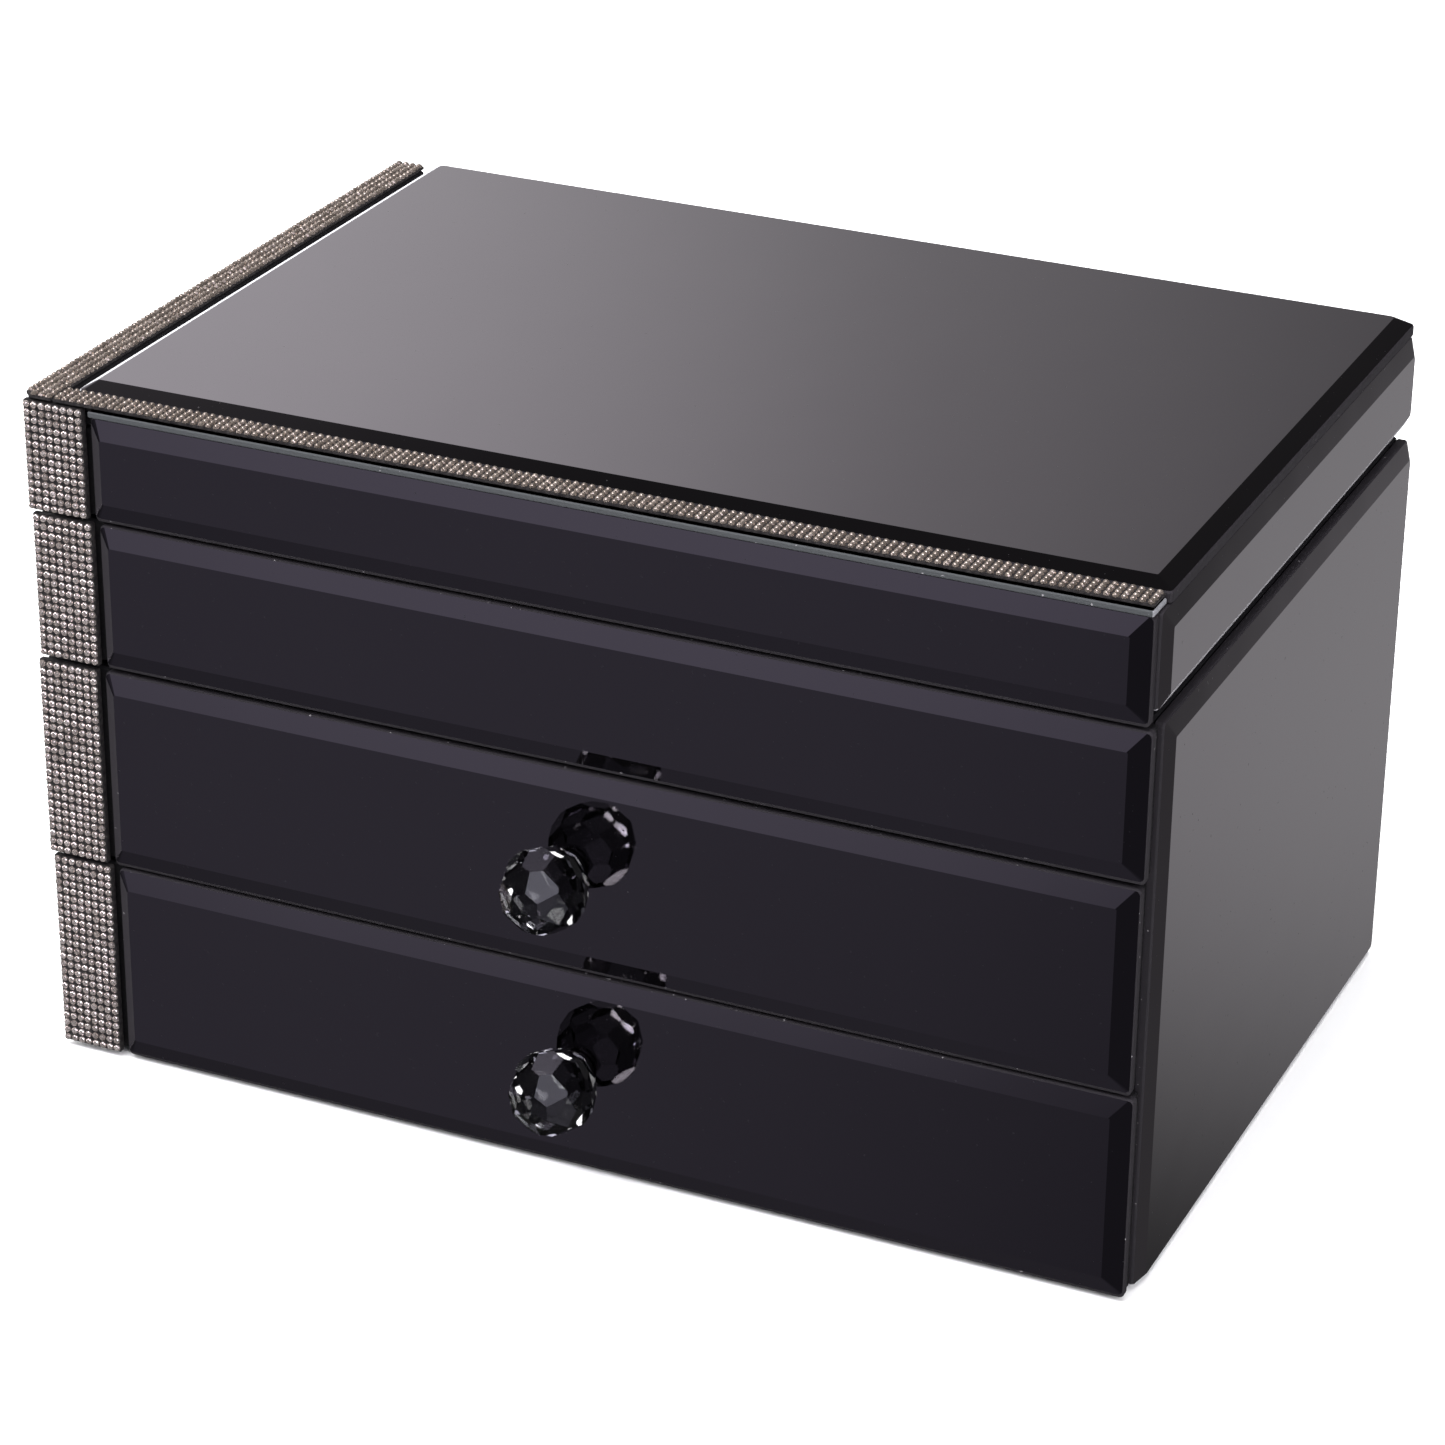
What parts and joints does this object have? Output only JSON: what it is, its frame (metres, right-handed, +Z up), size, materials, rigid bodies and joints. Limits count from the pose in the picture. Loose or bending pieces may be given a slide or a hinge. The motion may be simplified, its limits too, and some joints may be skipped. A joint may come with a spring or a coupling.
{
  "type": "jewelry chest",
  "caption": "Tabletop jewelry chest in dark bevelled mirror glass with a hinged lid, a tray, drawers with faceted ball knobs and strips of metallic stones along the left edge and top.",
  "frame": {"origin": "middle of the footprint on the table, knobs and hinges included", "axes": "+X to the right seen from the front, +Y to the back, +Z up; the drawers slide along -Y and the lid hinge runs along X"},
  "size_m": [0.28, 0.2124, 0.1729],
  "materials": {
    "dark_mirror_glass": "polished dark mirror glass",
    "inner_mirror": "polished",
    "wrapped_board": "black wrapped fibreboard, fine grain",
    "velvet": "short pile",
    "felt": "felt",
    "stone_mesh": "faceted metallic stones on black mesh",
    "crystal": "clear, faceted",
    "nickel": "polished nickel"
  },
  "bodies": {
    "carcass": {"back_board": "wrapped_board", "base_board": "wrapped_board", "drawer_shelf_board": "wrapped_board", "felt_strip_left": "felt", "felt_strip_right": "felt", "hinge_leaf_body_left": "nickel", "hinge_leaf_body_right": "nickel", "hinge_pin_left": "nickel", "hinge_pin_right": "nickel", "ring_roll_1": "velvet", "ring_roll_2": "velvet", "ring_roll_3": "velvet", "side_board_left": "wrapped_board", "side_board_right": "wrapped_board", "side_glass_left": "dark_mirror_glass", "side_glass_right": "dark_mirror_glass", "tray_divider_cross": "velvet", "tray_divider_long": "velvet", "tray_floor_board": "wrapped_board", "tray_front_board": "wrapped_board", "tray_front_glass": "dark_mirror_glass", "tray_front_stones": "stone_mesh"},
    "lid": {"hinge_leaf_lid_left": "nickel", "hinge_leaf_lid_right": "nickel", "lid_back_rail": "wrapped_board", "lid_corner_block": "wrapped_board", "lid_front_glass": "dark_mirror_glass", "lid_front_rail": "wrapped_board", "lid_front_stones": "stone_mesh", "lid_ledge_glass": "dark_mirror_glass", "lid_left_batten": "wrapped_board", "lid_left_rail": "wrapped_board", "lid_mirror": "inner_mirror", "lid_right_rail": "wrapped_board", "lid_side_glass_left": "dark_mirror_glass", "lid_side_glass_right": "dark_mirror_glass", "lid_top_board": "wrapped_board", "lid_top_glass": "dark_mirror_glass", "lid_top_stones_front": "stone_mesh", "lid_top_stones_left": "stone_mesh"},
    "drawer_upper": {"drawer_upper_back": "wrapped_board", "drawer_upper_bottom": "wrapped_board", "drawer_upper_front_board": "wrapped_board", "drawer_upper_front_glass": "dark_mirror_glass", "drawer_upper_front_stones": "stone_mesh", "drawer_upper_knob_ball": "crystal", "drawer_upper_knob_collar": "nickel", "drawer_upper_knob_screw": "nickel", "drawer_upper_side_left": "wrapped_board", "drawer_upper_side_right": "wrapped_board"},
    "drawer_lower": {"drawer_lower_back": "wrapped_board", "drawer_lower_bottom": "wrapped_board", "drawer_lower_front_board": "wrapped_board", "drawer_lower_front_glass": "dark_mirror_glass", "drawer_lower_front_stones": "stone_mesh", "drawer_lower_knob_ball": "crystal", "drawer_lower_knob_collar": "nickel", "drawer_lower_knob_screw": "nickel", "drawer_lower_side_left": "wrapped_board", "drawer_lower_side_right": "wrapped_board"}
  },
  "joints": [
    {"name": "lid_hinge", "type": "hinge", "parent": "carcass", "child": "lid", "pos_m": [0, 0.10395, 0.14245], "axis": [-1, 0, 0], "range_deg": [0, 100]},
    {"name": "drawer_upper_slide", "type": "slide", "parent": "carcass", "child": "drawer_upper", "axis": [0, -1, 0], "range_m": [0, 0.115]},
    {"name": "drawer_lower_slide", "type": "slide", "parent": "carcass", "child": "drawer_lower", "axis": [0, -1, 0], "range_m": [0, 0.115]}
  ]
}
